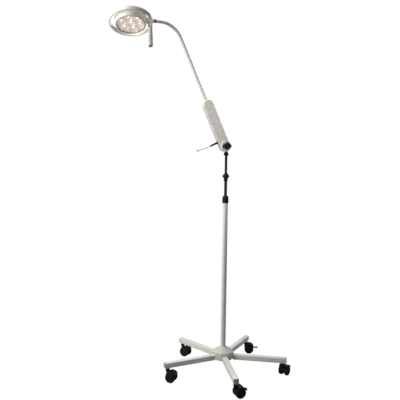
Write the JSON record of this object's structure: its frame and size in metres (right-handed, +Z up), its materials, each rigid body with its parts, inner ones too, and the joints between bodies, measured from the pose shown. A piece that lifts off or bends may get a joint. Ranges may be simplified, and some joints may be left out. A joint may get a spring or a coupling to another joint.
{
  "type": "mobile surgical light",
  "caption": "Mobile surgical light: castor star base, telescopic pole, friction arm with bent tube, and a round LED head with ring handle and hanging grip.",
  "frame": {"origin": "on the floor, on the pole's axis, midway between the five castors", "axes": "+X to the right, +Y to the back, +Z up along the pole; the arm leans towards -X, and the head hangs over that side"},
  "size_m": [0.931, 0.6387, 1.806],
  "materials": {
    "white_paint": "satin",
    "white_plastic": "satin",
    "cap_grey": "satin",
    "black_plastic": "satin",
    "black_enamel": "satin",
    "wheel_black": "matte",
    "green_plastic": "satin",
    "steel": "brushed",
    "sleeve_grey": "satin",
    "relief_rubber": "matte",
    "lead_grey": "matte",
    "connector_metal": "polished",
    "bezel_plastic": "satin",
    "lens_glass": "clear",
    "reflector_silver": "polished",
    "board_white": "matte",
    "emitter_yellow": "gloss",
    "button_grey": "matte"
  },
  "bodies": {
    "base": {"hub_body": "white_plastic", "hub_cover": "white_plastic", "pole_bolt": "steel", "leg_a": "white_paint", "leg_b": "white_paint", "leg_c": "white_paint", "leg_d": "white_paint", "leg_e": "white_paint", "leg_end_caps": "cap_grey", "castor_stems": "steel", "pole_tube": "white_paint", "pole_bush": "black_plastic"},
    "castor_a": {"castor_a_fork": "black_plastic"},
    "castor_a_wheel_l": {"castor_a_wheel_l": "wheel_black"},
    "castor_a_wheel_r": {"castor_a_wheel_r": "wheel_black"},
    "brake_pedal_a": {"brake_pedal_a": "black_plastic"},
    "castor_b": {"castor_b_fork": "black_plastic"},
    "castor_b_wheel_l": {"castor_b_wheel_l": "wheel_black"},
    "castor_b_wheel_r": {"castor_b_wheel_r": "wheel_black"},
    "castor_c": {"castor_c_fork": "black_plastic"},
    "castor_c_wheel_l": {"castor_c_wheel_l": "wheel_black"},
    "castor_c_wheel_r": {"castor_c_wheel_r": "wheel_black"},
    "brake_pedal_c": {"brake_pedal_c": "green_plastic"},
    "castor_d": {"castor_d_fork": "black_plastic"},
    "castor_d_wheel_l": {"castor_d_wheel_l": "wheel_black"},
    "castor_d_wheel_r": {"castor_d_wheel_r": "wheel_black"},
    "castor_e": {"castor_e_fork": "black_plastic"},
    "castor_e_wheel_l": {"castor_e_wheel_l": "wheel_black"},
    "castor_e_wheel_r": {"castor_e_wheel_r": "wheel_black"},
    "pole_nut": {"pole_clamp_nut": "black_plastic"},
    "middle_stage": {"middle_rod": "black_enamel", "rod_collar": "black_plastic"},
    "clamp_ring": {"rod_clamp_ring": "black_plastic"},
    "upper_stage": {"upper_rod": "black_enamel", "bell_collar": "black_plastic"},
    "bracket": {"arm_bracket": "white_paint"},
    "arm": {"casing_front": "white_plastic", "casing_rear": "white_plastic", "casing_screws": "steel", "pivot_boss": "white_plastic", "pivot_shaft": "steel", "arm_tube": "white_paint", "tube_sleeve": "sleeve_grey", "strain_relief": "relief_rubber", "power_lead": "lead_grey", "lead_connector": "connector_metal"},
    "tilt_knob": {"pivot_knob": "black_plastic"},
    "knuckle": {"head_knuckle": "white_plastic"},
    "head": {"joint_pin": "steel", "head_housing": "white_plastic", "head_yoke": "white_plastic", "lens_bezel": "bezel_plastic", "lens_cover": "lens_glass", "reflector_array": "reflector_silver", "led_board": "board_white", "led_emitters": "emitter_yellow", "ring_handle": "white_plastic"},
    "grip": {"grip_sleeve": "white_plastic", "grip_plug": "black_plastic"},
    "button": {"power_button": "button_grey"}
  },
  "joints": [
    {"name": "castor_a_swivel", "type": "hinge", "parent": "base", "child": "castor_a", "pos_m": [0.04493, -0.31178, 0.06], "axis": [0, 0, 1], "continuous": true},
    {"name": "castor_a_wheel_l_roll", "type": "hinge", "parent": "castor_a", "child": "castor_a_wheel_l", "pos_m": [0.06372, -0.30494, 0.026], "axis": [-0.342, 0.9397, 0], "continuous": true},
    {"name": "castor_a_wheel_r_roll", "type": "hinge", "parent": "castor_a", "child": "castor_a_wheel_r", "pos_m": [0.06372, -0.30494, 0.026], "axis": [-0.342, 0.9397, 0], "continuous": true},
    {"name": "brake_pedal_a_tilt", "type": "hinge", "parent": "castor_a", "child": "brake_pedal_a", "pos_m": [0.08064, -0.29878, 0.034], "axis": [-0.342, 0.9397, 0], "range_deg": [0, 12]},
    {"name": "castor_b_swivel", "type": "hinge", "parent": "base", "child": "castor_b", "pos_m": [0.3104, -0.05362, 0.06], "axis": [0, 0, 1], "continuous": true},
    {"name": "castor_b_wheel_l_roll", "type": "hinge", "parent": "castor_b", "child": "castor_b_wheel_l", "pos_m": [0.3213, -0.03684, 0.026], "axis": [-0.8387, 0.5446, 0], "continuous": true},
    {"name": "castor_b_wheel_r_roll", "type": "hinge", "parent": "castor_b", "child": "castor_b_wheel_r", "pos_m": [0.3213, -0.03684, 0.026], "axis": [-0.8387, 0.5446, 0], "continuous": true},
    {"name": "castor_c_swivel", "type": "hinge", "parent": "base", "child": "castor_c", "pos_m": [0.14691, 0.27864, 0.06], "axis": [0, 0, 1], "continuous": true},
    {"name": "castor_c_wheel_l_roll", "type": "hinge", "parent": "castor_c", "child": "castor_c_wheel_l", "pos_m": [0.1668, 0.27655, 0.026], "axis": [0.1045, 0.9945, 0], "continuous": true},
    {"name": "castor_c_wheel_r_roll", "type": "hinge", "parent": "castor_c", "child": "castor_c_wheel_r", "pos_m": [0.1668, 0.27655, 0.026], "axis": [0.1045, 0.9945, 0], "continuous": true},
    {"name": "brake_pedal_c_tilt", "type": "hinge", "parent": "castor_c", "child": "brake_pedal_c", "pos_m": [0.1847, 0.27467, 0.034], "axis": [0.1045, 0.9945, 0], "range_deg": [0, 12]},
    {"name": "castor_d_swivel", "type": "hinge", "parent": "base", "child": "castor_d", "pos_m": [-0.21961, 0.22583, 0.06], "axis": [0, 0, 1], "continuous": true},
    {"name": "castor_d_wheel_l_roll", "type": "hinge", "parent": "castor_d", "child": "castor_d_wheel_l", "pos_m": [-0.20283, 0.21493, 0.026], "axis": [0.5446, 0.8387, 0], "continuous": true},
    {"name": "castor_d_wheel_r_roll", "type": "hinge", "parent": "castor_d", "child": "castor_d_wheel_r", "pos_m": [-0.20283, 0.21493, 0.026], "axis": [0.5446, 0.8387, 0], "continuous": true},
    {"name": "castor_e_swivel", "type": "hinge", "parent": "base", "child": "castor_e", "pos_m": [-0.28264, -0.13907, 0.06], "axis": [0, 0, 1], "continuous": true},
    {"name": "castor_e_wheel_l_roll", "type": "hinge", "parent": "castor_e", "child": "castor_e_wheel_l", "pos_m": [-0.26373, -0.14559, 0.026], "axis": [0.3256, 0.9455, 0], "continuous": true},
    {"name": "castor_e_wheel_r_roll", "type": "hinge", "parent": "castor_e", "child": "castor_e_wheel_r", "pos_m": [-0.26373, -0.14559, 0.026], "axis": [0.3256, 0.9455, 0], "continuous": true},
    {"name": "pole_nut_turn", "type": "hinge", "parent": "base", "child": "pole_nut", "pos_m": [0, 0, 0.91], "axis": [0, 0, 1], "range_deg": [-90, 90]},
    {"name": "middle_stage_slide", "type": "slide", "parent": "base", "child": "middle_stage", "axis": [0, 0, 1], "range_m": [-0.075, 0.35]},
    {"name": "clamp_ring_turn", "type": "hinge", "parent": "middle_stage", "child": "clamp_ring", "pos_m": [0, 0, 1.033], "axis": [0, 0, 1], "range_deg": [-90, 90]},
    {"name": "upper_stage_slide", "type": "slide", "parent": "middle_stage", "child": "upper_stage", "axis": [0, 0, 1], "range_m": [-0.09, 0.2]},
    {"name": "arm_swivel", "type": "hinge", "parent": "upper_stage", "child": "bracket", "pos_m": [0, 0, 1.15], "axis": [0, 0, 1], "continuous": true},
    {"name": "arm_tilt", "type": "hinge", "parent": "bracket", "child": "arm", "pos_m": [-0.0102, -0.00412, 1.187], "axis": [0.3746, -0.9272, 0], "range_deg": [-40, 50]},
    {"name": "tilt_knob_turn", "type": "hinge", "parent": "arm", "child": "tilt_knob", "pos_m": [0.00479, -0.04121, 1.187], "axis": [0.3746, -0.9272, 0], "range_deg": [-180, 180]},
    {"name": "head_roll", "type": "hinge", "parent": "arm", "child": "knuckle", "pos_m": [-0.38482, -0.15548, 1.77608], "axis": [-0.9272, -0.3746, 0], "range_deg": [-150, 115]},
    {"name": "head_tilt", "type": "hinge", "parent": "knuckle", "child": "head", "pos_m": [-0.38482, -0.15548, 1.77608], "axis": [0.3552, -0.8793, 0.3173], "range_deg": [-60, 24]},
    {"name": "grip_turn", "type": "hinge", "parent": "head", "child": "grip", "pos_m": [-0.37862, -0.18713, 1.68143], "axis": [-0.062, 0.3165, 0.9466], "range_deg": [-45, 45]},
    {"name": "button_press", "type": "slide", "parent": "head", "child": "button", "axis": [-0.7282, 0.6342, -0.2598], "range_m": [0, 0.0015], "stiffness_N_per_m": 600}
  ]
}
